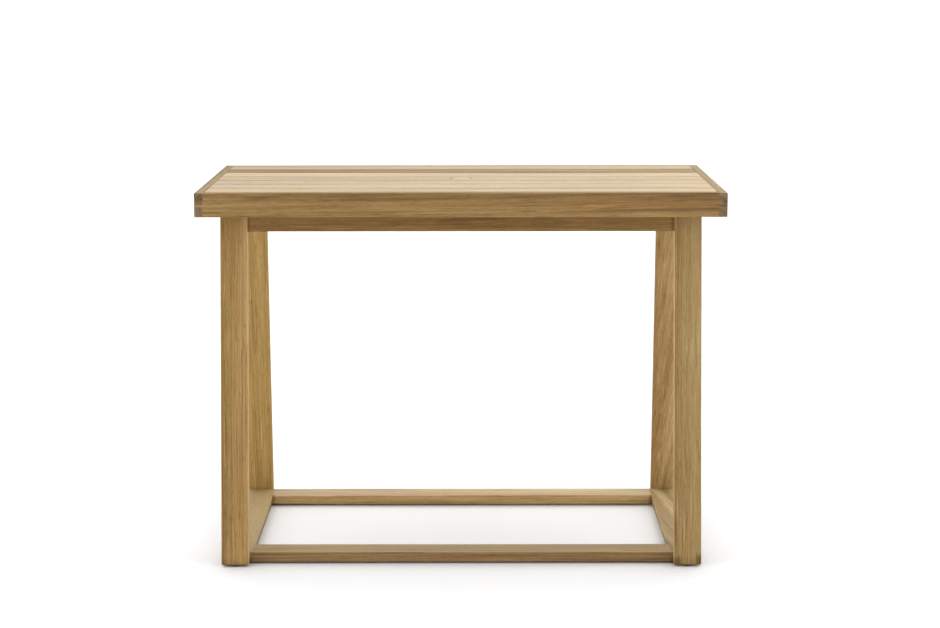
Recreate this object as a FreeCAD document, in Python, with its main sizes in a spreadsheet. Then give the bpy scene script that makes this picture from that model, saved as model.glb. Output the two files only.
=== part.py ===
import FreeCAD, Part
import os
import Sketcher
from FreeCAD import Vector, Placement, Rotation

# Slatted hardwood bar table with a splayed trestle base.
# +Z is up, the floor is z = 0, +X runs along the length of the top and the
# long front edge faces -Y.  The origin is on the floor under the middle of the
# top.  All sizes are millimetres.

doc = FreeCAD.newDocument("bar_table")

# ---------------------------------------------------------------- dimensions
dims = doc.addObject("Spreadsheet::Sheet", "dims")
CELLS = [
    ("top_len", 1500, "length of the top"),
    ("top_dep", 900, "depth of the top"),
    ("top_z", 1080, "height of the top surface above the floor"),
    ("rail_h", 68, "height of the perimeter rails"),
    ("rail_t", 24, "thickness of the perimeter rails"),
    ("tongue_lo", 28, "underside of the corner tongue above the rail's lower edge"),
    ("tongue_h", 7, "height of the corner tongue"),
    ("ease", 1.6, "eased edge on rails, slats and aprons"),
    ("slat_t", 20, "slat thickness"),
    ("slat_gap", 4.5, "gap between slats"),
    ("slat_n", 7, "number of slats"),
    ("end_gap", 1, "gap between slat ends and the end rails"),
    ("bearer_h", 32, "bearer height"),
    ("bearer_w", 70, "inner bearer width"),
    ("bearer_end_w", 90, "end bearer width"),
    ("bearer_mid_x", 330, "distance of the inner bearers from the middle"),
    ("bearer_tenon", 10, "bearer tenon length"),
    ("bearer_tenon_h", 16, "bearer tenon height"),
    ("ledger_w", 24, "ledger width"),
    ("hole_head_d", 67, "counterbore for the parasol hole plug"),
    ("hole_head_h", 12, "depth of that counterbore"),
    ("hole_d", 50, "parasol pole bore in the centre bearer"),
    ("slat_hole_d", 52, "parasol pole hole in the centre slat"),
    ("plug_head_d", 60.5, "plug head diameter"),
    ("plug_spigot_d", 46, "plug spigot diameter"),
    ("leg_w", 78, "leg width along the table"),
    ("leg_run", 36.3, "leg thickness measured level, front to back"),
    ("leg_x", 651, "leg centre from the middle of the table"),
    ("foot_y", 450, "outer face of the leg at its foot"),
    ("head_y", 328, "outer face of the leg level with the rails' lower edge"),
    ("foot_z", 5, "underside of the legs"),
    ("leg_ease", 3, "eased long edges of the legs"),
    ("foot_ease", 5, "chamfer around the foot of a leg"),
    ("apron_drop", 54, "apron below the rails' lower edge"),
    ("apron_run", 24.2, "apron thickness measured level"),
    ("apron_back", 5, "apron face behind the leg's outer face"),
    ("end_apron_t", 24, "end apron thickness"),
    ("board_t", 28, "foot rail thickness"),
    ("board_z", 6, "underside of the foot rails"),
    ("board_out_y", 410, "outer edge of the long foot rails"),
    ("board_w", 96, "long foot rail width"),
    ("side_in_x", 607, "inner edge of the side foot rails"),
    ("tenon_len", 14, "tenon length on the side foot rails"),
    ("head_tenon_len", 11, "tenon length on the end aprons"),
    ("tenon_t", 14, "tenon thickness on the end frames"),
    ("tenon_w", 56, "tenon width on the side foot rails"),
    ("tenon_h", 44, "tenon height on the end aprons"),
    ("tenon_play", 0.2, "room around a tenon"),
    ("bolt_d", 8, "frame bolt diameter"),
    ("bolt_hole_d", 8.6, "frame bolt hole"),
    ("bolt_head_d", 13, "frame bolt head diameter"),
    ("bolt_sink_d", 17, "counterbore for the bolt head"),
    ("bolt_sink", 12, "depth of that counterbore"),
    ("bolt_in", 58, "length of the bolt hole in the end of a long rail"),
    ("nut_in", 42, "barrel nut centre from the rail end"),
    ("nut_d", 12, "barrel nut diameter"),
    ("dowel_d", 10, "dowel diameter"),
    ("dowel_half", 20, "dowel length on each side of a joint"),
    ("dowel_off_apron", 22, "dowels above and below the apron bolt"),
    ("dowel_off_board", 30, "dowels beside the foot rail bolt"),
    ("top_bolt_d", 6, "top fixing bolt diameter"),
    ("top_bolt_y", 180, "top fixing bolt from the middle of the end apron"),
    ("insert_d", 12, "threaded insert diameter"),
    ("insert_h", 18, "threaded insert length"),
    ("screw_d", 4.5, "slat screw diameter"),
    ("screw_len", 45, "slat screw length"),
    ("screw_head_d", 8, "slat screw head diameter"),
    ("screw_off", 26, "slat screws off the middle of a slat"),
    ("glide_d", 24, "glide diameter"),
    ("glide_pin_d", 5, "glide pin diameter"),
    ("glide_pin", 16, "glide pin length"),
]
for row, (alias, value, note) in enumerate(CELLS, start=1):
    dims.set("A%d" % row, note)
    dims.set("B%d" % row, str(value))
    dims.setAlias("B%d" % row, alias)
doc.recompute()


class Q:
    """A size with both its number and the formula that binds it to the sheet."""

    def __init__(self, text, number):
        self.text = text
        self.n = float(number)

    @staticmethod
    def of(other):
        if isinstance(other, Q):
            return other
        return Q("%.6g" % other if other >= 0 else "(0 - %.6g)" % -other, other)

    def __add__(self, other):
        o = Q.of(other)
        return Q("(%s + %s)" % (self.text, o.text), self.n + o.n)

    __radd__ = __add__

    def __sub__(self, other):
        o = Q.of(other)
        return Q("(%s - %s)" % (self.text, o.text), self.n - o.n)

    def __rsub__(self, other):
        return Q.of(other) - self

    def __mul__(self, other):
        o = Q.of(other)
        return Q("(%s * %s)" % (self.text, o.text), self.n * o.n)

    __rmul__ = __mul__

    def __truediv__(self, other):
        o = Q.of(other)
        return Q("(%s / %s)" % (self.text, o.text), self.n / o.n)

    def __neg__(self):
        return Q("(0 - %s)" % self.text, -self.n)


def c(alias):
    return Q("dims." + alias, dims.get(alias))


# derived levels and positions
half_len = c("top_len") / 2
half_dep = c("top_dep") / 2
in_x = half_len - c("rail_t")
in_y = half_dep - c("rail_t")
head_z = c("top_z") - c("rail_h")
slat_z = c("top_z") - c("slat_t")
bear_z = slat_z - c("bearer_h")
leg_in = c("leg_x") - c("leg_w") / 2
leg_out = c("leg_x") + c("leg_w") / 2
lean = (c("foot_y") - c("head_y")) / (head_z - c("foot_z"))
board_top = c("board_z") + c("board_t")
board_mid = c("board_z") + c("board_t") / 2
board_mid_y = c("board_out_y") - c("board_w") / 2
apron_lo = head_z - c("apron_drop")
apron_mid = (apron_lo + bear_z) / 2
slat_w = (in_y * 2 - c("slat_gap") * (c("slat_n") + 1)) / c("slat_n")
slat_pitch = slat_w + c("slat_gap")


def leg_face(z):
    """Outer face of a front leg at height z (negative Y)."""
    return (z - c("foot_z")) * lean - c("foot_y")


def leg_back(z):
    """Inner face of a front leg at height z."""
    return leg_face(z) + c("leg_run")


apron_axis_y = leg_face(apron_mid) + c("apron_back") + c("apron_run") / 2

# ------------------------------------------------------------------- helpers
SUBPARTS = []


def bind(obj, prop, q):
    obj.setExpression(prop, Q.of(q).text)


def put(obj, x, y, z):
    bind(obj, "Placement.Base.x", x)
    bind(obj, "Placement.Base.y", y)
    bind(obj, "Placement.Base.z", z)


def new_body(label):
    body = doc.addObject("PartDesign::Body", label)
    body.Label = label
    SUBPARTS.append(body)
    return body


def box(body, name, x0, x1, y0, y1, z0, z1, cut=False):
    kind = "PartDesign::SubtractiveBox" if cut else "PartDesign::AdditiveBox"
    f = body.newObject(kind, body.Name + "_" + name)
    bind(f, "Length", Q.of(x1) - x0)
    bind(f, "Width", Q.of(y1) - y0)
    bind(f, "Height", Q.of(z1) - z0)
    put(f, x0, y0, z0)
    doc.recompute()
    return f


AXIS = {
    "+X": Rotation(Vector(0, 1, 0), 90),
    "-X": Rotation(Vector(0, 1, 0), -90),
    "+Y": Rotation(Vector(1, 0, 0), -90),
    "-Y": Rotation(Vector(1, 0, 0), 90),
    "+Z": Rotation(),
    "-Z": Rotation(Vector(1, 0, 0), 180),
}


def cyl(body, name, diameter, height, x, y, z, axis="+Z", cut=True):
    kind = "PartDesign::SubtractiveCylinder" if cut else "PartDesign::AdditiveCylinder"
    f = body.newObject(kind, body.Name + "_" + name)
    bind(f, "Radius", Q.of(diameter) / 2)
    bind(f, "Height", height)
    f.Placement = Placement(Vector(), AXIS[axis])
    put(f, x, y, z)
    doc.recompute()
    return f


def cone(body, name, d1, d2, height, x, y, z):
    f = body.newObject("PartDesign::SubtractiveCone", body.Name + "_" + name)
    bind(f, "Radius1", Q.of(d1) / 2)
    bind(f, "Radius2", Q.of(d2) / 2)
    bind(f, "Height", height)
    put(f, x, y, z)
    doc.recompute()
    return f


def profile(body, name, role, points):
    """Closed outline whose corners are each tied to the sheet."""
    sk = body.newObject("Sketcher::SketchObject", body.Name + "_" + name)
    plane = [o for o in body.Origin.OriginFeatures if o.Role == role][0]
    sk.AttachmentSupport = (plane, [""])
    sk.MapMode = "FlatFace"
    n = len(points)
    pts = [(Q.of(a), Q.of(b)) for a, b in points]
    for i in range(n):
        p, q = pts[i], pts[(i + 1) % n]
        sk.addGeometry(Part.LineSegment(Vector(p[0].n, p[1].n, 0), Vector(q[0].n, q[1].n, 0)), False)
    for i in range(n):
        sk.addConstraint(Sketcher.Constraint("Coincident", i, 2, (i + 1) % n, 1))
    for i in range(n):
        for kind, q in (("DistanceX", pts[i][0]), ("DistanceY", pts[i][1])):
            k = sk.addConstraint(Sketcher.Constraint(kind, -1, 1, i, 1, q.n))
            sk.setExpression("Constraints[%d]" % k, q.text)
    doc.recompute()
    return sk


def pad(body, name, sketch, length):
    f = body.newObject("PartDesign::Pad", body.Name + "_" + name)
    f.Profile = sketch
    f.Midplane = True
    bind(f, "Length", length)
    doc.recompute()
    return f


def edges(feature, test):
    out = []
    for i, e in enumerate(feature.Shape.Edges, start=1):
        if len(e.Vertexes) != 2 or e.Curve.TypeId != "Part::GeomLine":
            continue
        a, b = e.Vertexes[0].Point, e.Vertexes[1].Point
        if test(a, b):
            out.append("Edge%d" % i)
    return out


def ease(body, name, feature, test, size, flat=False):
    kind = "PartDesign::Chamfer" if flat else "PartDesign::Fillet"
    f = body.newObject(kind, body.Name + "_" + name)
    f.Base = (feature, edges(feature, test))
    bind(f, "Size" if flat else "Radius", size)
    doc.recompute()
    return f


def along(axis, shortest=0.0):
    def test(a, b):
        d = b.sub(a)
        k = {"x": abs(d.x), "y": abs(d.y), "z": abs(d.z)}
        return k[axis] > max(shortest, 0.9 * d.Length)
    return test


def group(label, solids):
    """Identical loose pieces that share one sub-part."""
    obj = doc.addObject("Part::Feature", label)
    obj.Label = label
    obj.Shape = Part.makeCompound(solids)
    obj.Placement = Placement()
    SUBPARTS.append(obj)
    return obj


# ------------------------------------------------------------------- the top
# Long rails: plain between the end rails, with a thin tongue at each end that
# runs through the fork in the end rail and shows at the corner.
tongue_z0 = head_z + c("tongue_lo")
tongue_z1 = tongue_z0 + c("tongue_h")
BEARERS = [
    ("bearer_left", -c("leg_x"), c("bearer_end_w")),
    ("bearer_mid_left", -c("bearer_mid_x"), c("bearer_w")),
    ("bearer_centre", Q.of(0), c("bearer_w") * 1.4),
    ("bearer_mid_right", c("bearer_mid_x"), c("bearer_w")),
    ("bearer_right", c("leg_x"), c("bearer_end_w")),
]
ten_z0 = bear_z + (c("bearer_h") - c("bearer_tenon_h")) / 2
ten_z1 = ten_z0 + c("bearer_tenon_h")

for label, side in (("top_front_rail", -1), ("top_back_rail", 1)):
    b = new_body(label)
    y0, y1 = (-half_dep, -in_y) if side < 0 else (in_y, half_dep)
    f = box(b, "stock", -in_x, in_x, y0, y1, head_z, c("top_z"))
    f = ease(b, "eased", f, along("x", 500), c("ease"))
    box(b, "tongues", -half_len, half_len, y0, y1, tongue_z0, tongue_z1)
    depth = c("bearer_tenon") + c("tenon_play")
    for name, x, w in BEARERS:
        wx = w / 2 + c("tenon_play")
        my = (y1 - depth, y1 + 1) if side < 0 else (y0 - 1, y0 + depth)
        box(b, "mortise_" + name, x - wx, x + wx, my[0], my[1],
            ten_z0 - c("tenon_play"), ten_z1 + c("tenon_play"), cut=True)

for label, side in (("top_left_rail", -1), ("top_right_rail", 1)):
    b = new_body(label)
    x0, x1 = (-half_len, -in_x) if side < 0 else (in_x, half_len)
    f = box(b, "stock", x0, x1, -half_dep, half_dep, head_z, c("top_z"))
    xo = (half_len.n) * side

    def end_edges(a, e, xo=xo):
        d = e.sub(a)
        long_y = abs(d.y) > 500
        cross_x = abs(d.x) > 1 and abs(d.y) < 1e-6 and abs(d.z) < 1e-6
        corner = abs(d.z) > 1 and abs(a.x - xo) < 1e-6
        return long_y or cross_x or corner

    f = ease(b, "eased", f, end_edges, c("ease"))
    for k, s in (("fork_front", -1), ("fork_back", 1)):
        ya, yb = (-half_dep - 1, -in_y) if s < 0 else (in_y, half_dep + 1)
        box(b, k, x0 - 1, x1 + 1, ya, yb, tongue_z0, tongue_z1, cut=True)
    # blind holes for the ledger screws
    for i, yy in enumerate((-300, 0, 300)):
        cyl(b, "screw%d" % i, c("screw_d") + 0.2, 16, (in_x - 1) * side, yy,
            slat_z - c("bearer_h") / 2, "+X" if side > 0 else "-X")

# Slats run the length of the top.  Screws come up from the bearers.
slat_x = in_x - c("end_gap")


def slat_mid(k):
    return (slat_w / 2 + c("slat_gap") - in_y) + slat_pitch * k


SCREW_XY = []
for k in range(7):
    b = new_body("slat_%d" % (k + 1))
    ym = slat_mid(k)
    f = box(b, "stock", -slat_x, slat_x, ym - slat_w / 2, ym + slat_w / 2, slat_z, c("top_z"))
    zt = c("top_z").n
    f = ease(b, "eased", f, lambda a, e: abs(a.z - zt) < 1e-6 and abs(e.z - zt) < 1e-6, c("ease"))
    if k == 3:
        cyl(b, "counterbore", c("hole_head_d"), c("hole_head_h") + 1, 0, 0, c("top_z") - c("hole_head_h"))
        cyl(b, "parasol_hole", c("slat_hole_d"), c("slat_t") + 2, 0, 0, slat_z - 1)
    for j, (name, x, w) in enumerate(BEARERS):
        if k == 3 and j == 2:
            spots = [(x - c("screw_off") * 1.5, ym), (x + c("screw_off") * 1.5, ym)]
        else:
            spots = [(x, ym + c("screw_off") * (1 if (j + k) % 2 else -1))]
        for i, (sx, sy) in enumerate(spots):
            SCREW_XY.append((j, sx, sy))
            cyl(b, "pilot%d_%d" % (j, i), c("screw_d") + 0.2,
                c("screw_len") - c("bearer_h") + 1.5, sx, sy, slat_z - 1)

# Bearers cross under the slats and are tenoned into the long rails.
for j, (label, x, w) in enumerate(BEARERS):
    b = new_body(label)
    f = box(b, "stock", x - w / 2, x + w / 2, -in_y, in_y, bear_z, slat_z)
    zb = bear_z.n
    f = ease(b, "eased", f, lambda a, e: abs(a.z - zb) < 1e-6 and abs(e.z - zb) < 1e-6
             and abs(e.y - a.y) > 100, c("ease"))
    box(b, "tenons", x - w / 2, x + w / 2, -in_y - c("bearer_tenon"), in_y + c("bearer_tenon"), ten_z0, ten_z1)
    for i, (jj, sx, sy) in enumerate(SCREW_XY):
        if jj == j:
            cyl(b, "clear%d" % i, c("screw_d") + 0.4, c("bearer_h") + 2, sx, sy, bear_z - 1)
            cone(b, "sink%d" % i, c("screw_head_d") + 1.2, c("screw_d") + 0.4, 2.6, sx, sy, bear_z - 0.01)
    if label == "bearer_centre":
        cyl(b, "parasol_bore", c("hole_d"), c("bearer_h") + 2, 0, 0, bear_z - 1)
    if label in ("bearer_left", "bearer_right"):
        for i, s in enumerate((-1, 1)):
            cyl(b, "insert%d" % i, c("insert_d") + 0.2, c("insert_h") + 1.5, x, c("top_bolt_y") * s, bear_z - 1)

# Ledgers on the inside of the end rails carry the slat ends.
for label, side in (("ledger_left", -1), ("ledger_right", 1)):
    b = new_body(label)
    x0, x1 = (-in_x, c("ledger_w") - in_x) if side < 0 else (in_x - c("ledger_w"), in_x)
    f = box(b, "stock", x0, x1, -in_y, in_y, bear_z, slat_z)
    for i, yy in enumerate((-300, 0, 300)):
        cyl(b, "screw%d" % i, c("screw_d") + 0.4, c("ledger_w") + 2, (in_x - c("ledger_w") - 1) * side, yy,
            slat_z - c("bearer_h") / 2, "+X" if side > 0 else "-X")

# Loose plug that closes the parasol hole: a head in the counterbore and a
# spigot that stops level with the underside of the slat.
b = new_body("parasol_plug")
head_lo = c("top_z") - c("hole_head_h") + 0.3
f = cyl(b, "head", c("plug_head_d"), c("hole_head_h") - 0.3, 0, 0, head_lo, cut=False)
rim = b.newObject("PartDesign::Fillet", "parasol_plug_rim")
rim.Base = (f, ["Edge%d" % i for i, e in enumerate(f.Shape.Edges, start=1)
                if e.Curve.TypeId == "Part::GeomCircle" and abs(e.Curve.Center.z - c("top_z").n) < 1e-6])
bind(rim, "Radius", c("ease"))
doc.recompute()
cyl(b, "spigot", c("plug_spigot_d"), head_lo - slat_z - 0.5 + 2, 0, 0, slat_z + 0.5, cut=False)

# ------------------------------------------------------------------ the base
# Legs lean in depth only.  The outline is drawn in the YZ plane and padded
# along X; each leg is then moved to its corner, and the back pair are the
# front pair turned half round.
bolt_z = apron_mid
CORNERS = [
    ("leg_front_left", 1, Rotation(), -c("leg_x")),
    ("leg_front_right", -1, Rotation(), c("leg_x")),
    ("leg_back_right", 1, Rotation(Vector(0, 0, 1), 180), c("leg_x")),
    ("leg_back_left", -1, Rotation(Vector(0, 0, 1), 180), -c("leg_x")),
]
for label, s, turn, x in CORNERS:
    # s is the side of the leg, in its own frame, that faces the other end
    b = new_body(label)
    zf, zh = c("foot_z"), bear_z
    sk = profile(b, "outline", "YZ_Plane", [
        (leg_face(zf), zf), (leg_back(zf), zf), (leg_back(zh), zh), (leg_face(zh), zh)])
    f = pad(b, "stock", sk, c("leg_w"))
    zlo = c("foot_z").n
    f = ease(b, "foot", f, lambda a, e: abs(a.z - zlo) < 1e-6 and abs(e.z - zlo) < 1e-6, c("foot_ease"), flat=True)
    f = ease(b, "eased", f, lambda a, e: abs(e.z - a.z) > 500, c("leg_ease"))
    play = c("tenon_play")
    # mortise for the side foot rail
    off = (c("side_in_x") + leg_out) / 2 - c("leg_x")
    wx = c("tenon_w") / 2 + play
    ym = leg_back(board_mid)
    xm = -off * s
    box(b, "foot_mortise", xm - wx, xm + wx, ym - c("tenon_len") - 1, ym + 20,
        board_mid - c("tenon_t") / 2 - play, board_mid + c("tenon_t") / 2 + play, cut=True)
    # mortise for the end apron
    ya = leg_back(apron_mid)
    wt = c("tenon_t") / 2 + play
    box(b, "head_mortise", -wt, wt, ya - c("head_tenon_len") - 1, ya + 20,
        apron_mid - c("tenon_h") / 2 - play, apron_mid + c("tenon_h") / 2 + play, cut=True)
    # bolt hole for the long apron, sunk on the outer side
    ax = "+X" if s > 0 else "-X"
    cyl(b, "bolt_hole", c("bolt_hole_d"), c("leg_w") + 2, (c("leg_w") / 2 + 1) * -s, apron_axis_y, bolt_z, ax)
    cyl(b, "bolt_sink", c("bolt_sink_d"), c("bolt_sink") + 1, (c("leg_w") / 2 + 1) * -s, apron_axis_y, bolt_z, ax)
    for i, k in enumerate((-1, 1)):
        dz = c("dowel_off_apron") * k
        cyl(b, "dowel%d" % i, c("dowel_d") + 0.3, c("dowel_half") + 1.4, (c("leg_w") / 2 + 1) * s,
            apron_axis_y + dz * lean, bolt_z + dz, "-X" if s > 0 else "+X")
    cyl(b, "glide_hole", c("glide_pin_d") + 0.3, c("glide_pin") + 1.5, 0, leg_face(zf) + c("leg_run") / 2, zf - 1)
    b.Placement = Placement(Vector(), turn)
    bind(b, "Placement.Base.x", x)
    doc.recompute()

# Long aprons stand in the plane of the legs, just behind the outer faces.
for label, turn in (("apron_front", Rotation()), ("apron_back", Rotation(Vector(0, 0, 1), 180))):
    b = new_body(label)
    ya = c("apron_back")
    yb = ya + c("apron_run")
    sk = profile(b, "outline", "YZ_Plane", [
        (leg_face(apron_lo) + ya, apron_lo), (leg_face(apron_lo) + yb, apron_lo),
        (leg_face(bear_z) + yb, bear_z), (leg_face(bear_z) + ya, bear_z)])
    f = pad(b, "stock", sk, leg_in * 2)
    zl = apron_lo.n
    f = ease(b, "eased", f, lambda a, e: abs(a.z - zl) < 1e-6 and abs(e.z - zl) < 1e-6 and abs(e.x - a.x) > 500, c("ease"))
    for i, s in enumerate((-1, 1)):
        ax = "+X" if s < 0 else "-X"
        cyl(b, "bolt%d" % i, c("bolt_hole_d"), c("bolt_in") + 1, (leg_in + 1) * s, apron_axis_y, bolt_z, ax)
        cyl(b, "nut%d" % i, c("nut_d") + 0.3, 60, (leg_in - c("nut_in")) * s, apron_axis_y - 9.5, bolt_z, "+Y")
        for j, k in enumerate((-1, 1)):
            dz = c("dowel_off_apron") * k
            cyl(b, "dowel%d_%d" % (i, j), c("dowel_d") + 0.3, c("dowel_half") + 1.4, (leg_in + 1) * s,
                apron_axis_y + dz * lean, bolt_z + dz, ax)
    b.Placement = Placement(Vector(), turn)

# End aprons join the heads of each pair of legs; the ends are cut to the lean
# and tenoned.  Two bolts go up through each one into the end bearer.
for label, side in (("apron_left", -1), ("apron_right", 1)):
    b = new_body(label)
    sk = profile(b, "outline", "YZ_Plane", [
        (leg_back(apron_lo), apron_lo), (-leg_back(apron_lo), apron_lo),
        (-leg_back(bear_z), bear_z), (leg_back(bear_z), bear_z)])
    f = pad(b, "stock", sk, c("end_apron_t"))
    zl = apron_lo.n
    f = ease(b, "eased", f, lambda a, e: abs(a.z - zl) < 1e-6 and abs(e.z - zl) < 1e-6 and abs(e.y - a.y) > 100, c("ease"))
    yt = -(leg_back(apron_mid) - c("head_tenon_len"))
    box(b, "tenons", -c("tenon_t") / 2, c("tenon_t") / 2, -yt, yt,
        apron_mid - c("tenon_h") / 2, apron_mid + c("tenon_h") / 2)
    for i, k in enumerate((-1, 1)):
        cyl(b, "fixing%d" % i, c("top_bolt_d") + 0.6, bear_z - apron_lo + 2, 0, c("top_bolt_y") * k, apron_lo - 1)
        cyl(b, "sink%d" % i, 13, 9, 0, c("top_bolt_y") * k, apron_lo - 1)
    bind(b, "Placement.Base.x", c("leg_x") * side)
    doc.recompute()

# Side foot rails lie flat between the legs of each end, ends cut to the lean.
side_w = leg_out - c("side_in_x")
side_mid = (leg_out + c("side_in_x")) / 2
for label, side in (("foot_rail_left", -1), ("foot_rail_right", 1)):
    b = new_body(label)
    z0, z1 = c("board_z"), board_top
    sk = profile(b, "outline", "YZ_Plane", [
        (leg_back(z0), z0), (-leg_back(z0), z0), (-leg_back(z1), z1), (leg_back(z1), z1)])
    f = pad(b, "stock", sk, side_w)
    f = ease(b, "eased", f, lambda a, e: abs(e.y - a.y) > 500, c("ease") + 0.4)
    yt = -(leg_back(board_mid) - c("tenon_len"))
    box(b, "tenons", -c("tenon_w") / 2, c("tenon_w") / 2, -yt, yt,
        board_mid - c("tenon_t") / 2, board_mid + c("tenon_t") / 2)
    for i, k in enumerate((-1, 1)):
        ax = "-X" if side > 0 else "+X"
        xo = (side_w / 2 + 1) * side
        xi = -side_w / 2 * side
        cyl(b, "bolt%d" % i, c("bolt_hole_d"), side_w + 2, xo, board_mid_y * k, board_mid, ax)
        cyl(b, "sink%d" % i, c("bolt_sink_d"), c("bolt_sink") + 1, xo, board_mid_y * k, board_mid, ax)
        for j, m in enumerate((-1, 1)):
            cyl(b, "dowel%d_%d" % (i, j), c("dowel_d") + 0.3, c("dowel_half") + 1.4, xi - 1 * side,
                board_mid_y * k + c("dowel_off_board") * m, board_mid, "+X" if side > 0 else "-X")
    bind(b, "Placement.Base.x", side_mid * side)
    doc.recompute()

# Long foot rails lie flat between the side foot rails, just inside the legs.
for label, side in (("foot_rail_front", -1), ("foot_rail_back", 1)):
    b = new_body(label)
    y0, y1 = board_mid_y - c("board_w") / 2, board_mid_y + c("board_w") / 2
    if side < 0:
        y0, y1 = -y1, -y0
    f = box(b, "stock", -c("side_in_x"), c("side_in_x"), y0, y1, c("board_z"), board_top)
    f = ease(b, "eased", f, lambda a, e: abs(e.x - a.x) > 500, c("ease") + 0.4)
    for i, s in enumerate((-1, 1)):
        ax = "+X" if s < 0 else "-X"
        xe = (c("side_in_x") + 1) * s
        cyl(b, "bolt%d" % i, c("bolt_hole_d"), c("bolt_in") + 1, xe, board_mid_y * side, board_mid, ax)
        cyl(b, "nut%d" % i, c("nut_d") + 0.3, c("board_t") - 4, (c("side_in_x") - c("nut_in")) * s,
            board_mid_y * side, c("board_z") - 1)
        for j, m in enumerate((-1, 1)):
            cyl(b, "dowel%d_%d" % (i, j), c("dowel_d") + 0.3, c("dowel_half") + 1.4, xe,
                board_mid_y * side + c("dowel_off_board") * m, board_mid, ax)

doc.recompute()

# ------------------------------------------------------- fasteners and glides
UP, XP, YP = Vector(0, 0, 1), Vector(1, 0, 0), Vector(0, 1, 0)


def n(alias):
    return c(alias).n


def turned(points, base, direction):
    """Solid of revolution from (radius, height) points, set on an axis."""
    pts = [Vector(r, 0, h) for r, h in points]
    face = Part.Face(Part.Wire(Part.makePolygon(pts + [pts[0]]).Edges))
    solid = face.revolve(Vector(0, 0, 0), UP, 360)
    if solid.Volume < 0:
        solid.reverse()
    solid.Placement = Placement(base, Rotation(UP, direction))
    return solid


def wood_screw(base, direction):
    r, rh, length = n("screw_d") / 2, n("screw_head_d") / 2, n("screw_len")
    return turned([(0, 0.05), (rh, 0.05), (rh, 0.3), (r, 2.4), (r, length - 5), (0, length)], base, direction)


group("slat_screws", [wood_screw(Vector(sx.n, sy.n, bear_z.n), UP) for j, sx, sy in SCREW_XY])

short = []
for s in (-1, 1):
    for yy in (-300, 0, 300):
        r = n("screw_d") / 2
        base = Vector((in_x.n - n("ledger_w")) * s, yy, slat_z.n - n("bearer_h") / 2)
        short.append(turned([(0, 0), (0, -1.6), (3.2, -1.6), (4.0, -0.9), (4.0, -0.05), (r, -0.05), (r, 34), (0, 38)][1:],
                            base, XP * s))
group("ledger_screws", short)

bolts, nuts, dowels = [], [], []


def frame_bolt(head, direction, length):
    r, rh = n("bolt_d") / 2, n("bolt_head_d") / 2
    return turned([(0, -3), (3.4, -3), (3.4, -7.9), (rh - 0.6, -7.9), (rh, -7.3), (rh, 0), (r, 0), (r, length - 1), (r - 1, length), (0, length)],
                  head, direction)


def barrel_nut(centre, direction, bolt_axis, half):
    body = Part.makeCylinder(n("nut_d") / 2, half * 2, centre - direction * half, direction)
    hole = Part.makeCylinder(n("bolt_hole_d") / 2, 40, centre - bolt_axis * 20, bolt_axis)
    return body.cut(hole).Solids[0]


def dowel(centre, direction):
    r, h = n("dowel_d") / 2, n("dowel_half")
    return turned([(0, -h), (r - 1, -h), (r, -h + 1), (r, h - 1), (r - 1, h), (0, h)], centre, direction)


for sy in (-1, 1):
    ya = apron_axis_y.n * (1 if sy < 0 else -1)
    yb = board_mid_y.n * sy
    for sx in (-1, 1):
        inward = XP * -sx
        # long apron to leg
        head = Vector((leg_out.n - n("bolt_sink")) * sx, ya, bolt_z.n)
        bolts.append(frame_bolt(head, inward, n("leg_w") - n("bolt_sink") + n("bolt_in") - 3))
        nuts.append(barrel_nut(Vector((leg_in.n - n("nut_in")) * sx, ya, bolt_z.n), YP, XP, 9))
        for k in (-1, 1):
            dz = n("dowel_off_apron") * k
            dy = dz * lean.n * (1 if sy < 0 else -1)
            dowels.append(dowel(Vector(leg_in.n * sx, ya + dy, bolt_z.n + dz), XP))
        # long foot rail to side foot rail
        head = Vector((leg_out.n - n("bolt_sink")) * sx, yb, board_mid.n)
        bolts.append(frame_bolt(head, inward, side_w.n - n("bolt_sink") + n("bolt_in") - 3))
        nuts.append(barrel_nut(Vector((n("side_in_x") - n("nut_in")) * sx, yb, board_mid.n), UP, XP, 8.5))
        for k in (-1, 1):
            dowels.append(dowel(Vector(n("side_in_x") * sx, yb + n("dowel_off_board") * k, board_mid.n), XP))
group("frame_bolts", bolts)
group("barrel_nuts", nuts)
group("joint_dowels", dowels)

fix, inserts = [], []
for sx in (-1, 1):
    for sy in (-1, 1):
        at = Vector(n("leg_x") * sx, n("top_bolt_y") * sy, apron_lo.n + 8)
        r = n("top_bolt_d") / 2
        length = bear_z.n - apron_lo.n - 8 + n("insert_h") - 2
        fix.append(turned([(0, -2.5), (2.6, -2.5), (2.6, -6), (4.6, -6), (5, -5.5), (5, 0), (r, 0), (r, length), (0, length)], at, UP))
        at = Vector(n("leg_x") * sx, n("top_bolt_y") * sy, bear_z.n)
        ro, ri = n("insert_d") / 2, n("top_bolt_d") / 2 + 0.3
        inserts.append(turned([(ri, 0.1), (ro, 0.1), (ro, n("insert_h")), (ri, n("insert_h"))], at, UP))
group("top_fixing_bolts", fix)
group("threaded_inserts", inserts)

glides = []
for sx in (-1, 1):
    for sy in (-1, 1):
        y = (leg_face(c("foot_z")) + c("leg_run") / 2).n * (1 if sy < 0 else -1)
        r, rp, h = n("glide_d") / 2, n("glide_pin_d") / 2, n("foot_z")
        glides.append(turned([(0, 0), (r - 2, 0), (r, 2), (r, h), (rp, h), (rp, h + n("glide_pin")), (0, h + n("glide_pin"))],
                             Vector(n("leg_x") * sx, y, 0), UP))
group("foot_glides", glides)

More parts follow.
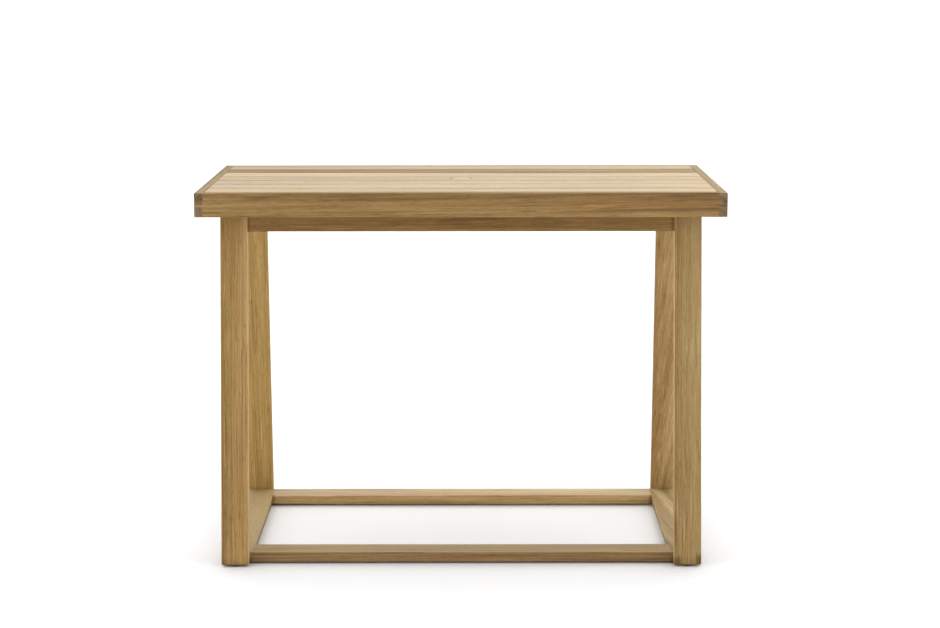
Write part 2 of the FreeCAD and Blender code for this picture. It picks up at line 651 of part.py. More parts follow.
# --------------------------------------------------------------- write it out
doc.recompute()
for obj in doc.Objects:
    bad = [s for s in obj.State if s in ("Invalid", "Error")]
    if bad:
        raise RuntimeError("%s is %s" % (obj.Label, bad))
for obj in SUBPARTS:
    if obj.Shape.isNull() or not obj.Shape.isValid():
        raise RuntimeError("%s has no valid shape" % obj.Label)
    if len(obj.Shape.Solids) == 0:
        raise RuntimeError("%s has no solid" % obj.Label)
os.makedirs("parts", exist_ok=True)
for obj in SUBPARTS:
    obj.Shape.exportStep("parts/%s.step" % obj.Label)
    bb = obj.Shape.BoundBox
    print("%-18s solids %2d  vol %9.0f  x %7.1f %7.1f  y %7.1f %7.1f  z %7.1f %7.1f" % (
        obj.Label, len(obj.Shape.Solids), obj.Shape.Volume, bb.XMin, bb.XMax, bb.YMin, bb.YMax, bb.ZMin, bb.ZMax))
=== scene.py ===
"""Teak bar table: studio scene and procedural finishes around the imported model.

Every board has its own solid-wood material: growth rings round a pith axis that lies
along the board, so face grain, edge grain and end grain agree on all sides of a piece.
"""

import math
import random

import bpy
from mathutils import Euler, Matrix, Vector


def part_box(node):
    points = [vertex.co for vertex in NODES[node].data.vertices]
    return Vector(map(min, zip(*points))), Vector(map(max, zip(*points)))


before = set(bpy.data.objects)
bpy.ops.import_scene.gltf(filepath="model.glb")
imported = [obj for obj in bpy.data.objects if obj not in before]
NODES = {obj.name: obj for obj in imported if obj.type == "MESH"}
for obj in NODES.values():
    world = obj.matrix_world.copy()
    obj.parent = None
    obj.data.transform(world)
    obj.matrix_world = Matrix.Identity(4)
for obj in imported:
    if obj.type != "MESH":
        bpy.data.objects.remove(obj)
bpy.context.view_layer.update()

LEAN = math.atan2(0.122, 1.007)     # the legs' lean in depth


# ---------------------------------------------------------------- node helpers

class Net:
    """A material's node tree, with short calls for the nodes used here."""

    def __init__(self, name):
        self.mat = bpy.data.materials.new(name)
        self.mat.use_nodes = True
        self.tree = self.mat.node_tree
        self.tree.nodes.clear()
        self.out = self.add("ShaderNodeOutputMaterial")
        self.bsdf = self.add("ShaderNodeBsdfPrincipled")
        self.join(self.bsdf.outputs[0], self.out.inputs["Surface"])
        self.coord = self.add("ShaderNodeTexCoord")

    def add(self, kind, **props):
        node = self.tree.nodes.new(kind)
        for key, value in props.items():
            setattr(node, key, value)
        return node

    def join(self, a, b):
        self.tree.links.new(a, b)

    def put(self, socket, value):
        if isinstance(value, bpy.types.NodeSocket):
            self.join(value, socket)
        else:
            socket.default_value = value

    def math(self, op, a, b=None, c=None, clamp=False):
        n = self.add("ShaderNodeMath", operation=op, use_clamp=clamp)
        for i, v in enumerate((a, b, c)):
            if v is not None:
                self.put(n.inputs[i], v)
        return n.outputs[0]

    def vec(self, op, a, b=None, out="Vector"):
        n = self.add("ShaderNodeVectorMath", operation=op)
        self.put(n.inputs[0], a)
        if b is not None:
            self.put(n.inputs[1], b)
        return n.outputs[out]

    def mapped(self, v, rotation=(0, 0, 0), location=(0, 0, 0), kind="POINT"):
        n = self.add("ShaderNodeMapping", vector_type=kind)
        self.join(v, n.inputs["Vector"])
        n.inputs["Rotation"].default_value = rotation
        if kind == "POINT":
            n.inputs["Location"].default_value = location
        return n.outputs[0]

    def noise(self, v, stretch=None, scale=1.0, detail=2.0, rough=0.5, colour=False, dims="3D"):
        n = self.add("ShaderNodeTexNoise", noise_dimensions=dims)
        if dims == "1D":
            self.put(n.inputs["W"], v)
        else:
            self.join(self.vec("MULTIPLY", v, stretch) if stretch else v, n.inputs["Vector"])
        n.inputs["Scale"].default_value = scale
        n.inputs["Detail"].default_value = detail
        n.inputs["Roughness"].default_value = rough
        return n.outputs[1 if colour else 0]

    def span(self, v, a, b, c=0.0, d=1.0, kind="SMOOTHSTEP"):
        n = self.add("ShaderNodeMapRange", interpolation_type=kind, clamp=True)
        self.put(n.inputs[0], v)
        for i, x in enumerate((a, b, c, d)):
            n.inputs[i + 1].default_value = x
        return n.outputs[0]

    def ramp(self, v, stops):
        n = self.add("ShaderNodeValToRGB")
        r = n.color_ramp
        r.interpolation = "B_SPLINE" if len(stops) > 3 else "LINEAR"
        while len(r.elements) < len(stops):
            r.elements.new(0.5)
        for e, (p, c) in zip(r.elements, stops):
            e.position = p
            e.color = (*c, 1.0)
        self.join(v, n.inputs[0])
        return n.outputs[0]

    def blend(self, fac, a, b, mode="MIX"):
        n = self.add("ShaderNodeMix", data_type="RGBA", blend_type=mode, clamp_factor=True)
        self.put(n.inputs[0], fac)
        for i, v in ((6, a), (7, b)):
            self.put(n.inputs[i], v if isinstance(v, bpy.types.NodeSocket) else (*v, 1.0))
        return n.outputs[2]

    def bump(self, height, strength, distance):
        n = self.add("ShaderNodeBump")
        n.inputs["Strength"].default_value = strength
        n.inputs["Distance"].default_value = distance
        self.join(height, n.inputs["Height"])
        self.join(n.outputs[0], self.bsdf.inputs["Normal"])

    def total(self, start, terms):
        """start plus the sum of (value - 0.5) * weight."""
        acc = start
        for v, k in terms:
            acc = self.math("MULTIPLY_ADD", v, k, self.math("ADD", acc, -0.5 * k)
                            if isinstance(acc, bpy.types.NodeSocket) else acc - 0.5 * k)
        return acc


# ---------------------------------------------------------------- teak

DARK = (0.124, 0.066, 0.021)
BROWN = (0.212, 0.125, 0.041)
TAN = (0.300, 0.191, 0.070)
PALE = (0.410, 0.288, 0.132)

TURN = {
    "x": (0.0, 0.0, 0.0),
    "y": (0.0, 0.0, -math.pi / 2),
    "leg_front": (LEAN, math.pi / 2, 0.0),
    "leg_back": (-LEAN, math.pi / 2, 0.0),
}


def toned(c, tone, warm, tint=(1.0, 1.0, 1.0)):
    """A teak colour made lighter (tone), redder or yellower (warm) and tinted."""
    return (min(1, c[0] * tone * (1 + 0.5 * warm) * tint[0]), min(1, c[1] * tone * tint[1]),
            min(1, c[2] * tone * (1 - warm) * tint[2]))


def teak(name, grain, seed, pith=(0.05, 0.02), tilt=(0.0, 0.0), tone=1.0, warm=0.0,
         tint=(1.0, 1.0, 1.0), broad=0.75, fine=0.5, streak=0.95, wave=0.7, spacing=0.0075,
         thick=0.45, lines=0.07, dash=0.20, cloudy=0.45, wide=0.0, hues=1.0, shade=None,
         painted_top_sheen=0.0, painted_top_sheen_tint=(1.60, 1.74, 1.72), gleams=0.15, rough=0.60, spec=0.20,
         knots=(), rings=1.0, patches=(), foot=False, edge=0.45, inner_side_highlight=0.0, outer_side_shade=None, under=0.0,
         gap_edge_shade=0.0, cut_tint=(0.66, 0.66, 0.86)):
    """Solid teak for one board. pith is the board's middle seen from the pith (across the
    grain), tilt the grain's run-out, shade a slow change of tone over the board, knots and
    patches are places in the frame."""
    rnd = random.Random(seed)
    net = Net("teak_" + name)
    lo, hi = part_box(name)
    middle = (lo + hi) / 2
    base = Euler(TURN[grain], "XYZ")
    turn = (TURN[grain][0], TURN[grain][1] + tilt[0], TURN[grain][2] + tilt[1])
    if grain == "x":
        turn = (0.0, tilt[0], tilt[1])
    m = Euler(turn, "XYZ").to_matrix() @ middle
    place = Vector((rnd.uniform(3, 40), pith[0], pith[1]))
    shift = place - m
    raw = net.coord.outputs["Object"]
    p = net.mapped(raw, turn, shift)

    # slow and quick wander of the rings along the board
    w1 = net.noise(p, (0.9, 2.2, 2.2), detail=1.0, colour=True)
    w2 = net.noise(p, (4.5, 14.0, 14.0), detail=2.0, colour=True)
    p1 = net.vec("ADD", p, net.vec("MULTIPLY", net.vec("SUBTRACT", w1, (0.5, 0.5, 0.5)),
                                   (0.0, 0.050 * wave, 0.050 * wave)))
    p2 = net.vec("ADD", p1, net.vec("MULTIPLY", net.vec("SUBTRACT", w2, (0.5, 0.5, 0.5)),
                                    (0.0, 0.009 * wave, 0.009 * wave)))
    r = net.vec("LENGTH", net.vec("MULTIPLY", p2, (0.0, 1.0, 1.0)), out="Value")

    # small knots push the rings aside and are darker inside
    knot_mask = None
    for k_at, k_size, k_push in knots:
        at = Euler(turn, "XYZ").to_matrix() @ Vector(k_at) + shift
        d = net.vec("MULTIPLY", net.vec("SUBTRACT", p, tuple(at)),
                    (0.30 / k_size, 1.0 / k_size, 1.0 / k_size))
        d = net.vec("LENGTH", d, out="Value")
        bell = net.math("POWER", math.e, net.math("MULTIPLY", net.math("MULTIPLY", d, d), -1.0))
        r = net.math("MULTIPLY_ADD", bell, k_push, r)
        core = net.span(d, 0.62, 0.20)
        knot_mask = core if knot_mask is None else net.math("MAXIMUM", knot_mask, core)

    band = net.noise(r, dims="1D", scale=62.0 * rings, detail=2.0, rough=0.55)
    thin = net.noise(net.math("ADD", r, 7.0), dims="1D", scale=250.0 * rings, detail=2.0, rough=0.6)
    turns = net.math("FRACT", net.math("MULTIPLY_ADD", r, 1.0 / spacing, net.math("MULTIPLY", band, 2.2)))
    line = net.math("MULTIPLY", net.span(turns, 1.0 - thick, 1.0 - 0.14 * thick),
                    net.span(turns, 1.0, 1.0 - 0.10 * thick))
    long = net.noise(p2, (2.6, 115.0, 115.0), detail=3.0, rough=0.6)
    vessel = net.span(net.noise(p2, (10.0, 290.0, 290.0), detail=1.0), 0.57, 0.72)
    gleam = net.span(net.noise(net.vec("ADD", p2, (5.0, 9.0, 2.0)), (6.0, 220.0, 220.0), detail=1.0),
                     0.60, 0.76)
    fibre = net.noise(p1, (6.0, 520.0, 520.0), detail=2.0, rough=0.6)
    cloud = net.noise(p, (1.4, 7.0, 7.0), detail=1.0)
    hue = net.noise(net.vec("ADD", p1, (11.0, 5.0, 3.0)), (0.8, 26.0, 26.0), detail=2.0)
    pore = net.span(net.noise(p1, (48.0, 1250.0, 1250.0), detail=0.0), 0.60, 0.72)

    tone_at = net.total(0.53, ((band, broad), (thin, 0.55 * fine), (long, streak),
                               (fibre, 0.44), (cloud, cloudy)))
    if wide:
        tone_at = net.total(tone_at, ((net.noise(p2, (0.7, 34.0, 34.0), detail=2.0), wide),))
    half = (hi - lo) / 2
    if shade:
        off = net.vec("SUBTRACT", raw, tuple(middle))
        tone_at = net.math("ADD", tone_at, net.vec("DOT_PRODUCT", off, tuple(
            a / b for a, b in zip(shade, half)), out="Value"))
    tone_at = net.math("MULTIPLY_ADD", line, -lines, tone_at)
    tone_at = net.math("MULTIPLY_ADD", pore, -0.22, tone_at)
    tone_at = net.math("MULTIPLY_ADD", vessel, -dash, tone_at)
    tone_at = net.math("MULTIPLY_ADD", gleam, gleams, tone_at)
    stops = [(at, toned(c, tone, warm, tint))
             for at, c in ((0.0, DARK), (0.33, BROWN), (0.62, TAN), (1.0, PALE))]
    colour = net.ramp(tone_at, stops)
    colour = net.blend(net.span(hue, 0.48, 0.72, 0.0, hues), colour,
                       net.blend(1.0, colour, (1.06, 0.95, 0.88), "MULTIPLY"))
    colour = net.blend(net.span(hue, 0.46, 0.28, 0.0, hues), colour,
                       net.blend(1.0, colour, (0.97, 1.01, 0.92), "MULTIPLY"))
    if knot_mask is not None:
        colour = net.blend(net.math("MULTIPLY", knot_mask, 0.48), colour,
                           toned((0.085, 0.040, 0.014), 1.0, warm))
    ways = net.add("ShaderNodeSeparateXYZ")      # the surface's direction in the frame
    net.join(net.coord.outputs["Normal"], ways.inputs[0])
    spot = net.add("ShaderNodeSeparateXYZ")
    net.join(raw, spot.inputs[0])

    # the board's own directions on its surface: end grain, and rubbed edges that also carry a painted highlight
    nl = net.mapped(net.coord.outputs["Normal"], tuple(base), kind="VECTOR")
    nl = net.vec("ABSOLUTE", nl)
    sep = net.add("ShaderNodeSeparateXYZ")
    net.join(nl, sep.inputs[0])
    top = net.math("MAXIMUM", net.math("MAXIMUM", sep.outputs[0], sep.outputs[1]), sep.outputs[2])
    end = net.span(sep.outputs[0], 0.60, 0.92)
    worn_edge_highlight = net.math("MULTIPLY", net.span(top, 0.985, 0.86),
                    net.span(net.noise(raw, (9.0, 9.0, 9.0), detail=3.0), 0.34, 0.62))
    worn_edge_highlight = net.math("MULTIPLY", worn_edge_highlight, net.math("SUBTRACT", 1.0, end))
    ringed = net.total(0.50, ((band, 0.9), (thin, 0.8), (cloud, cloudy)))
    ringed = net.math("MULTIPLY_ADD", line, -0.10 - 0.6 * lines, ringed)
    holes = net.span(net.noise(p, (500.0, 1500.0, 1500.0), detail=1.0), 0.55, 0.70)
    ringed = net.math("MULTIPLY_ADD", holes, -0.30, ringed)
    cut = net.blend(1.0, net.ramp(ringed, stops), cut_tint, "MULTIPLY")
    colour = net.blend(end, colour, cut)
    # darker stains and smudges at given places, some of them painted shade at ends, joints and edges, drawn out and
    # ragged along the fibres
    for at, size, depth, *stain in patches:
        ragged = net.noise(p2, (14.0, 190.0, 190.0), detail=2.0)
        d = net.vec("LENGTH", net.vec("MULTIPLY", net.vec("SUBTRACT", raw, at),
                                      tuple(1.0 / x for x in size)), out="Value")
        d = net.math("MULTIPLY_ADD", net.math("SUBTRACT", ragged, 0.5), 1.8, d)
        colour = net.blend(net.span(d, 1.15, 0.35, 0.0, depth), colour,
                           net.blend(1.0, colour, stain[0] if stain else (0.46, 0.38, 0.32), "MULTIPLY"))
    if painted_top_sheen:      # the upper side is paler: a painted sheen
        colour = net.blend(net.span(ways.outputs[2], 0.70, 0.97, 0.0, painted_top_sheen), colour,
                           net.blend(1.0, colour, painted_top_sheen_tint, "MULTIPLY"))
    if inner_side_highlight:       # painted highlight on the side that faces the middle of the table
        facing = net.math("MULTIPLY", ways.outputs[0], -1.0 if middle.x > 0 else 1.0)
        colour = net.blend(net.span(facing, 0.55, 0.92), colour, net.blend(
            1.0, colour, tuple(1.0 + k * inner_side_highlight for k in (0.56, 0.68, 0.96)), "MULTIPLY"))
    if outer_side_shade:       # painted shade on the side that faces outward from the table's long side
        facing = net.math("MULTIPLY", ways.outputs[1], -1.0 if middle.y < 0 else 1.0)
        colour = net.blend(net.span(facing, 0.45, 0.90), colour, net.blend(1.0, colour, outer_side_shade, "MULTIPLY"))
    # rubbed edges are lighter: wear and a painted highlight on the rounded arrises
    colour = net.blend(net.math("MULTIPLY", worn_edge_highlight, edge), colour,
                       net.blend(1.0, colour, (1.42, 1.38, 1.30), "MULTIPLY"))
    if gap_edge_shade:         # painted shade along the long edges, beside the gaps
        away = net.math("ABSOLUTE", net.math("SUBTRACT", spot.outputs[1], middle.y))
        away = net.math("MULTIPLY_ADD", net.noise(raw, (26.0, 300.0, 300.0), detail=2.0), 0.004, away)
        colour = net.blend(net.span(away, half.y - 0.006, half.y + 0.001, 0.0, gap_edge_shade), colour,
                           net.blend(1.0, colour, (0.68, 0.57, 0.42), "MULTIPLY"))
    if under:       # painted shade low on the sides, next to the floor
        low = net.math("MULTIPLY", net.span(spot.outputs[2], 0.026, 0.012, 0.0, under),
                       net.span(ways.outputs[2], 0.75, 0.45))
        colour = net.blend(low, colour, net.blend(1.0, colour, (0.40, 0.36, 0.34), "MULTIPLY"))
    # darker at the bottom of the legs, near the floor
    if foot:
        low_darkening = net.math("MULTIPLY_ADD", net.noise(raw, (40.0, 40.0, 12.0), detail=3.0), 0.05,
                        spot.outputs[2])
        colour = net.blend(net.span(low_darkening, 0.060, 0.022, 0.0, 0.55), colour,
                           net.blend(1.0, colour, (0.62, 0.60, 0.58), "MULTIPLY"))
    net.join(colour, net.bsdf.inputs["Base Color"])

    gloss = net.total(rough, ((long, 0.20), (fibre, 0.16)))
    gloss = net.math("MULTIPLY_ADD", end, 0.14, gloss)
    gloss = net.math("MULTIPLY_ADD", worn_edge_highlight, -0.06, gloss)
    gloss = net.math("MULTIPLY_ADD", pore, 0.08, gloss, clamp=True)
    net.join(gloss, net.bsdf.inputs["Roughness"])
    net.bsdf.inputs["Specular IOR Level"].default_value = spec

    height = net.total(0.5, ((thin, 0.35), (fibre, 0.55), (long, 0.25)))
    height = net.math("MULTIPLY_ADD", pore, -0.45, height)
    height = net.math("MULTIPLY_ADD", line, -0.18, height)
    net.bump(height, 0.40, 0.0006)
    return net.mat


# ---------------------------------------------------------------- hardware

def metal(name, light, dark, rough, stretch, warm_spots=None):
    """Drawn or turned metal: fine tool lines, soft stains and a little tarnish."""
    net = Net(name)
    p = net.coord.outputs["Object"]
    tool = net.noise(p, stretch, detail=3.0, rough=0.65)
    stain = net.noise(p, (140.0, 140.0, 140.0), detail=3.0)
    colour = net.ramp(net.total(0.5, ((tool, 1.1), (stain, 0.9))),
                      [(0.15, dark), (0.85, light)])
    if warm_spots:
        colour = net.blend(net.span(stain, 0.58, 0.75, 0.0, 0.5), colour, warm_spots)
    net.join(colour, net.bsdf.inputs["Base Color"])
    net.join(net.total(rough, ((tool, 0.22), (stain, 0.15))), net.bsdf.inputs["Roughness"])
    net.bsdf.inputs["Metallic"].default_value = 1.0
    net.bump(tool, 0.20, 0.0002)
    return net.mat


def nylon(name):
    """Black moulded nylon: eggshell skin, dust and scuffs low down."""
    net = Net(name)
    p = net.coord.outputs["Object"]
    skin = net.noise(p, (900.0, 900.0, 900.0), detail=2.0)
    scuff = net.noise(p, (120.0, 120.0, 500.0), detail=4.0, rough=0.65)
    colour = net.ramp(net.total(0.45, ((skin, 0.5), (scuff, 1.4))),
                      [(0.2, (0.010, 0.010, 0.011)), (0.6, (0.022, 0.022, 0.023)),
                       (1.0, (0.085, 0.083, 0.080))])
    net.join(colour, net.bsdf.inputs["Base Color"])
    net.join(net.total(0.55, ((skin, 0.2), (scuff, 0.3))), net.bsdf.inputs["Roughness"])
    net.bump(skin, 0.35, 0.0002)
    return net.mat


def beech(name):
    """Pale dowel wood with short flecks along X."""
    net = Net(name)
    p = net.coord.outputs["Object"]
    fleck = net.span(net.noise(p, (160.0, 900.0, 900.0), detail=1.0), 0.56, 0.72)
    body = net.noise(p, (12.0, 260.0, 260.0), detail=3.0)
    colour = net.ramp(net.math("MULTIPLY_ADD", fleck, -0.30, net.total(0.55, ((body, 1.3),))),
                      [(0.0, (0.33, 0.19, 0.09)), (0.5, (0.55, 0.38, 0.21)), (1.0, (0.70, 0.53, 0.34))])
    net.join(colour, net.bsdf.inputs["Base Color"])
    net.join(net.total(0.55, ((body, 0.2),)), net.bsdf.inputs["Roughness"])
    net.bump(body, 0.25, 0.0003)
    return net.mat


# ---------------------------------------------------------------- finishes on the nodes

def dress(node, material):
    mesh = NODES[node].data
    for i in range(len(mesh.materials)):
        mesh.materials[i] = material
    if not mesh.materials:
        mesh.materials.append(material)


GAP_SHADE = (0.70, 0.60, 0.46)        # painted shade along the gaps and round the plug takes this off the colour
SLAT = dict(grain="x", spec=0.30, rough=0.48, streak=0.95, broad=0.75, wide=0.85, edge=0.05, gap_edge_shade=0.7,
            tint=(1.03, 1.19, 1.53), shade=(0.05, 0.0, 0.0))
LEG = dict(foot=True, cloudy=0.30, rough=0.72, spec=0.08, streak=0.48, broad=0.50, fine=0.30, hues=0.80,
           wide=0.58, dash=0.20, gleams=0.26)

BOARDS = {
    # the top: pale sanded slats, their paleness partly a painted sheen, one darker, in a browner frame
    "slat_1": dict(SLAT, seed=11, pith=(0.010, 0.070), tilt=(0.006, 0.003), tone=1.46, warm=0.14,
                   streak=0.70, wide=0.60, gap_edge_shade=0.9,
                   patches=(((0.380, -0.402, 1.080), (0.560, 0.030, 0.020), 0.60, (0.80, 0.78, 0.76)),)),
    # slat_2 to slat_4 carry painted shade along their gaps, slat_4 also round the plug
    "slat_2": dict(SLAT, seed=12, pith=(-0.045, 0.050), tilt=(-0.008, 0.002), tone=1.60, warm=-0.02,
                   patches=(((0.0, -0.302, 1.080), (3.0, 0.010, 0.020), 0.55, GAP_SHADE),)),
    "slat_3": dict(SLAT, seed=13, pith=(0.080, 0.030), tilt=(0.004, -0.003), tone=1.37, warm=0.04, shade=(0.09, 0.0, 0.0),
                   patches=(((0.0, -0.064, 1.080), (3.0, 0.016, 0.020), 0.75, GAP_SHADE),)),
    "slat_4": dict(SLAT, seed=14, pith=(0.015, -0.060), tilt=(0.010, 0.0), tone=1.38, warm=0.12, gap_edge_shade=0.3,
                   patches=(((0.0, -0.058, 1.080), (3.0, 0.020, 0.020), 0.75, GAP_SHADE),
                            ((0.0, 0.0, 1.080), (0.042, 0.042, 0.020), 0.45, GAP_SHADE))),
    "slat_5": dict(SLAT, seed=15, pith=(-0.070, 0.045), tilt=(0.005, 0.004), tone=1.53, warm=0.04, gap_edge_shade=0.35),
    "slat_6": dict(SLAT, seed=16, pith=(0.030, 0.045), tilt=(-0.006, 0.002), tone=0.965, warm=0.20,
                   rough=0.68, spec=0.09, tint=(1.04, 1.18, 1.52),
                   patches=(((0.450, 0.26, 1.08), (0.60, 0.4, 0.4), 1.0, (1.05, 1.09, 1.22)),
                            ((-0.720, 0.26, 1.08), (0.14, 0.4, 0.4), 1.0, (1.14, 1.20, 1.22)))),
    "slat_7": dict(SLAT, seed=17, pith=(-0.020, 0.065), tilt=(0.007, -0.002), tone=1.20, warm=0.10,
                   shade=(0.11, 0.0, 0.0),
                   patches=(((0.450, 0.37, 1.08), (0.60, 0.4, 0.4), 1.0, (1.02, 1.05, 1.09)),)),
    "parasol_plug": dict(grain="x", seed=21, pith=(0.02, 0.05), tone=1.70, warm=0.0, rough=0.48, spec=0.30,
                         tint=(1.0, 1.20, 1.62)),
    "top_front_rail": dict(grain="x", seed=32, pith=(0.030, 0.110), tilt=(0.016, 0.004), wave=0.42,
                           tone=0.93, warm=0.03, streak=0.70, broad=0.50, lines=0.21, spacing=0.017, thick=0.20,
                           dash=0.25, gleams=0.17, edge=0.15, shade=(-0.14, 0.0, -0.12), tint=(1.0, 0.95, 0.94),
                           patches=(((-0.560, -0.450, 1.066), (0.060, 0.03, 0.0065), 0.55),
                                    ((0.020, -0.450, 1.067), (0.300, 0.03, 0.0100), 0.25),
                                    ((0.620, -0.450, 1.066), (0.150, 0.03, 0.0095), 0.45),
                                    ((0.742, -0.450, 1.046), (0.018, 0.03, 0.0300), 0.45),
                                    ((-0.740, -0.450, 1.0435), (0.018, 0.01, 0.0060), 0.90, (0.93, 0.98, 1.30)))),
    "top_back_rail": dict(grain="x", seed=33, pith=(-0.060, 0.015), tilt=(-0.004, 0.008), tone=1.0, edge=0.15,
                          lines=0.20, spacing=0.015, thick=0.22, dash=0.30, broad=0.6),
    "top_left_rail": dict(grain="y", seed=34, pith=(0.060, 0.010), tilt=(0.006, 0.004), tone=0.91, warm=0.08,
                          edge=0.05, cut_tint=(0.91, 0.92, 1.55), lines=0.08, spacing=0.014, thick=0.25,
                          tint=(0.97, 1.03, 0.93), shade=(0.05, 0.0, 0.0),
                          patches=(((-0.738, -0.450, 1.067), (0.025, 0.008, 0.0150), 0.62),
                                   # painted shade along the rounded outer edge of the top
                                   ((-0.752, 0.0, 1.082), (0.010, 3.0, 0.010), 0.80, (0.64, 0.72, 0.70)),
                                   ((-0.738, 0.25, 1.08), (0.05, 0.50, 0.30), 1.0, (0.85, 0.87, 0.79)))),
    "top_right_rail": dict(grain="y", seed=135, pith=(-0.035, 0.060), tilt=(-0.006, 0.005), tone=1.02, warm=0.06,
                           edge=0.05, cut_tint=(0.73, 0.80, 1.24), lines=0.05, spacing=0.014, thick=0.25,
                           tint=(1.0, 1.025, 1.01),
                           patches=(((0.742, -0.450, 1.052), (0.010, 0.008, 0.009), 0.45),
                                    # painted shade along the rounded outer edge of the top
                                    ((0.752, 0.0, 1.082), (0.008, 3.0, 0.008), 0.65, (0.70, 0.74, 0.80)),
                                    ((0.738, 0.45, 1.08), (0.05, 0.30, 0.30), 1.0, (0.87, 0.93, 0.93)),
                                    ((0.738, -0.42, 1.08), (0.05, 0.26, 0.012), 1.0, (1.13, 1.16, 1.22)))),
    # under the top
    "bearer_left": dict(grain="y", seed=41, tone=0.96),
    "bearer_mid_left": dict(grain="y", seed=42, pith=(0.03, 0.06), tone=1.02),
    "bearer_centre": dict(grain="y", seed=43, pith=(-0.04, 0.05), tone=1.0),
    "bearer_mid_right": dict(grain="y", seed=44, pith=(0.06, 0.02), tone=1.04),
    "bearer_right": dict(grain="y", seed=45, pith=(-0.02, 0.06), tone=0.95),
    "ledger_left": dict(grain="y", seed=46, tone=1.0),
    "ledger_right": dict(grain="y", seed=47, pith=(-0.05, 0.02), tone=0.98),
    # the base
    "apron_front": dict(grain="x", seed=51, pith=(-0.070, 0.020), tilt=(0.003, 0.006), tone=1.05, warm=0.10,
                        lines=0.14, spacing=0.014, thick=0.25, tint=(1.0, 0.97, 1.0), broad=0.5, cloudy=0.15,
                        streak=0.8,
                        patches=(((-0.480, -0.330, 0.985), (0.420, 0.08, 0.09), 0.24),
                                 ((0.520, -0.330, 0.985), (0.260, 0.08, 0.09), 0.14),
                                 # painted shade at both ends, where the apron meets the legs, and along its bottom
                                 # edge
                                 ((-0.612, -0.330, 0.985), (0.010, 0.08, 0.09), 0.50),
                                 ((0.612, -0.330, 0.985), (0.012, 0.08, 0.09), 0.60),
                                 ((0.0, -0.330, 0.957), (4.0, 0.08, 0.0055), 0.40, (0.55, 0.52, 0.56)))),
    "apron_back": dict(grain="x", seed=52, pith=(0.070, 0.015), tilt=(-0.003, 0.006), tone=1.0, warm=0.05),
    "apron_left": dict(grain="y", seed=53, pith=(0.05, 0.02), tone=1.0),
    "apron_right": dict(grain="y", seed=54, pith=(-0.05, 0.02), tone=1.0),
    # the front legs' inner sides carry a painted highlight
    "leg_front_left": dict(LEG, grain="leg_front", seed=61, pith=(0.030, 0.060), tilt=(0.004, 0.005),
                           tone=1.27, shade=(0.14, 0.0, 0.0), tint=(1.0, 1.0, 1.03), inner_side_highlight=0.6),
    "leg_front_right": dict(LEG, grain="leg_front", seed=162, pith=(0.035, -0.055), tilt=(-0.005, 0.004),
                            tone=1.13, warm=-0.04, shade=(0.12, 0.0, 0.06), tint=(1.0, 1.02, 1.09), inner_side_highlight=1.65,
                            streak=0.38, broad=0.40,
                            patches=(((0.685, -0.446, 0.018), (0.016, 0.030, 0.026), 0.90),
                                     ((0.622, -0.447, 0.014), (0.016, 0.030, 0.020), 0.65))),
    # the back legs are lighter, most at the top: partly their own tone, partly painted light against the shade under
    # the table top; their outward sides get painted shade
    "leg_back_left": dict(LEG, grain="leg_back", seed=63, pith=(-0.020, 0.070), tilt=(0.004, -0.004),
                          tone=1.50, warm=0.04, tint=(1.0, 1.05, 1.05), shade=(0.0, 0.0, 0.09), outer_side_shade=(0.76, 0.74, 0.78),
                          dash=0.16, wide=0.32, streak=0.38, broad=0.40,
                          knots=(((-0.6659, 0.3350, 0.6576), 0.0052, 0.002),)),
    "leg_back_right": dict(LEG, grain="leg_back", seed=64, pith=(-0.045, -0.050), tilt=(-0.105, 0.040),
                           tone=1.49, warm=-0.04, shade=(0.12, 0.0, 0.14), tint=(1.0, 1.02, 1.14), dash=0.26,
                           streak=0.38, wide=0.40, outer_side_shade=(0.79, 0.77, 0.75)),
    # the foot rails' upper faces carry a painted sheen
    "foot_rail_front": dict(grain="x", seed=71, pith=(0.010, 0.050), tilt=(0.004, 0.003), tone=0.89, painted_top_sheen=0.62,
                            painted_top_sheen_tint=(1.68, 1.92, 1.52), tint=(1.0, 0.98, 1.05), spec=0.26, rough=0.57),
    "foot_rail_back": dict(grain="x", seed=72, pith=(-0.030, 0.050), tilt=(-0.005, 0.003), tone=1.66, warm=-0.06,
                           painted_top_sheen=0.2, painted_top_sheen_tint=(1.0, 1.45, 1.7), tint=(1.03, 1.05, 1.16), spec=0.30, rough=0.55, outer_side_shade=(0.80, 0.78, 0.76),
                           # painted shade at both ends of the front face, in the corners by the side rails
                           patches=(((-0.606, 0.314, 0.020), (0.012, 0.012, 0.040), 0.70),
                                    ((0.606, 0.314, 0.020), (0.010, 0.012, 0.040), 0.70))),
    # both side foot rails carry painted shade low on their sides
    "foot_rail_left": dict(grain="y", seed=73, pith=(0.030, 0.060), tilt=(0.004, 0.004), tone=1.34,
                           streak=0.15, broad=0.25, fine=0.1, dash=0.05, gleams=0.05, lines=0.02, hues=0.4, under=0.85,
                           # lighter towards the back end: painted light against the shade at that end
                           tint=(0.99, 1.10, 1.23), shade=(0.0, 0.10, 0.0)),
    "foot_rail_right": dict(grain="y", seed=74, pith=(0.050, 0.035), tilt=(0.010, -0.11), tone=1.52, wide=1.5,
                            streak=0.25, broad=0.35, fine=0.15, dash=0.08, gleams=0.10, hues=0.4, under=0.85,
                            tint=(0.99, 1.13, 1.34)),
}
for board, look in BOARDS.items():
    dress(board, teak(board, **look))

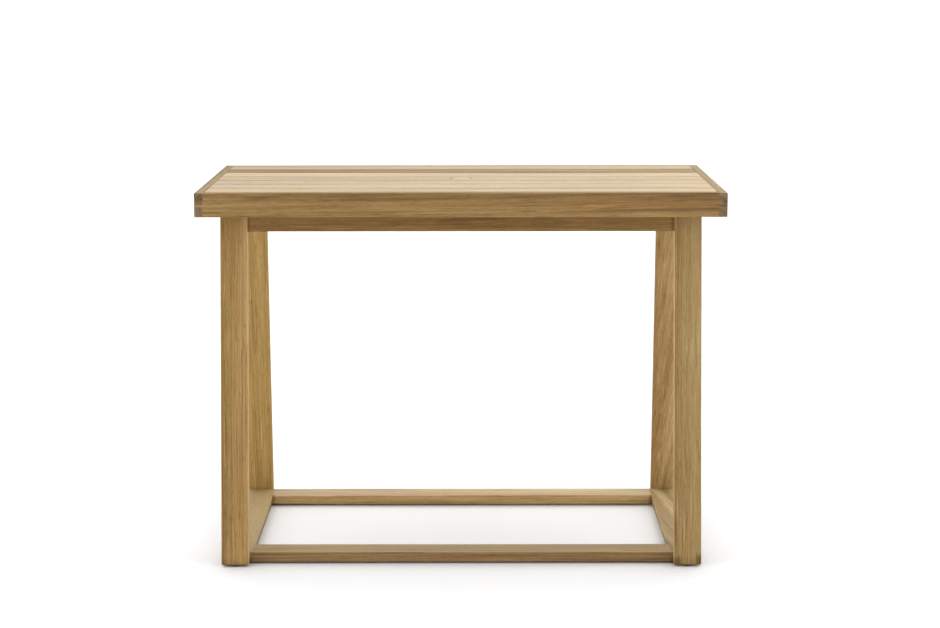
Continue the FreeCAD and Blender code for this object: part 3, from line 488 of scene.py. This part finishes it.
steel = metal("stainless_satin", (0.62, 0.61, 0.59), (0.34, 0.335, 0.33), 0.34, (500.0, 500.0, 1800.0))
brass = metal("brass_plain", (0.64, 0.47, 0.19), (0.36, 0.24, 0.09), 0.36, (900.0, 900.0, 1500.0),
              (0.30, 0.17, 0.07))
for node in ("frame_bolts", "ledger_screws", "slat_screws", "top_fixing_bolts"):
    dress(node, steel)
for node in ("barrel_nuts", "threaded_inserts"):
    dress(node, brass)
dress("joint_dowels", beech("beech_dowel"))
dress("foot_glides", nylon("nylon_glide"))


# ---------------------------------------------------------------- studio

floor_mesh = bpy.data.meshes.new("studio_floor")
S = 400.0
floor_mesh.from_pydata([(-S, -S, 0), (S, -S, 0), (S, S, 0), (-S, S, 0)], [], [(0, 1, 2, 3)])
floor = bpy.data.objects.new("studio_floor", floor_mesh)
bpy.context.scene.collection.objects.link(floor)
paper = bpy.data.materials.new("floor_paper")
paper.use_nodes = True
pb = paper.node_tree.nodes["Principled BSDF"]
pb.inputs["Base Color"].default_value = (0.935, 0.945, 0.960, 1.0)
pb.inputs["Roughness"].default_value = 0.95
pb.inputs["Specular IOR Level"].default_value = 0.1
floor_mesh.materials.append(paper)

# a wide pale sky, brightest high up behind the table, as from one large soft box
world = bpy.data.worlds.new("studio")
world.use_nodes = True
wt = world.node_tree
bg = wt.nodes["Background"]
bg.inputs["Color"].default_value = (1.0, 1.0, 1.0, 1.0)
sky = wt.nodes.new("ShaderNodeTexCoord")
dot = wt.nodes.new("ShaderNodeVectorMath")
dot.operation = "DOT_PRODUCT"
dot.inputs[1].default_value = (0.0, 0.80, 0.60)
glow = wt.nodes.new("ShaderNodeMapRange")
glow.interpolation_type = "SMOOTHSTEP"
for i, v in enumerate((0.05, 0.95, 0.62, 1.85)):
    glow.inputs[i + 1].default_value = v
wt.links.new(sky.outputs["Generated"], dot.inputs[0])
wt.links.new(dot.outputs["Value"], glow.inputs[0])
# and white along the horizon all round, where the floor ends
high = wt.nodes.new("ShaderNodeSeparateXYZ")
rise = wt.nodes.new("ShaderNodeMapRange")
rise.interpolation_type = "SMOOTHSTEP"
for i, v in enumerate((0.18, 0.34, 1.03, 0.0)):
    rise.inputs[i + 1].default_value = v
both = wt.nodes.new("ShaderNodeMath")
both.operation = "MAXIMUM"
wt.links.new(sky.outputs["Generated"], high.inputs[0])
wt.links.new(high.outputs[2], rise.inputs[0])
wt.links.new(glow.outputs[0], both.inputs[0])
wt.links.new(rise.outputs[0], both.inputs[1])
wt.links.new(both.outputs[0], bg.inputs["Strength"])
bpy.context.scene.world = world


def soft_box(name, azimuth, elevation, power, angle):
    """A distant soft light from that side: azimuth 0 is in front, positive to the right."""
    lamp = bpy.data.lights.new(name, "SUN")
    lamp.energy = power
    lamp.angle = math.radians(angle)
    ob = bpy.data.objects.new(name, lamp)
    ob.rotation_euler = (math.radians(90 - elevation), 0.0, math.radians(azimuth))
    bpy.context.scene.collection.objects.link(ob)


soft_box("fill_left", -58, 11, 0.62, 32)
soft_box("fill_right", 58, 11, 0.62, 32)
soft_box("overhead", 0, 84, 0.30, 80)

view = bpy.context.scene.view_settings
view.view_transform = "Standard"
view.look = "None"
view.exposure = 0.0
view.gamma = 1.0

cam = bpy.data.cameras.new("photo_camera")
cam.sensor_width = 36.0
cam.lens = 89.284
cam.clip_end = 2000.0
eye = bpy.data.objects.new("photo_camera", cam)
eye.location = (0.01989, -6.97088, 1.72850)
eye.rotation_euler = (1.419876, 0.000801, -0.000972)
bpy.context.scene.collection.objects.link(eye)
bpy.context.scene.camera = eye
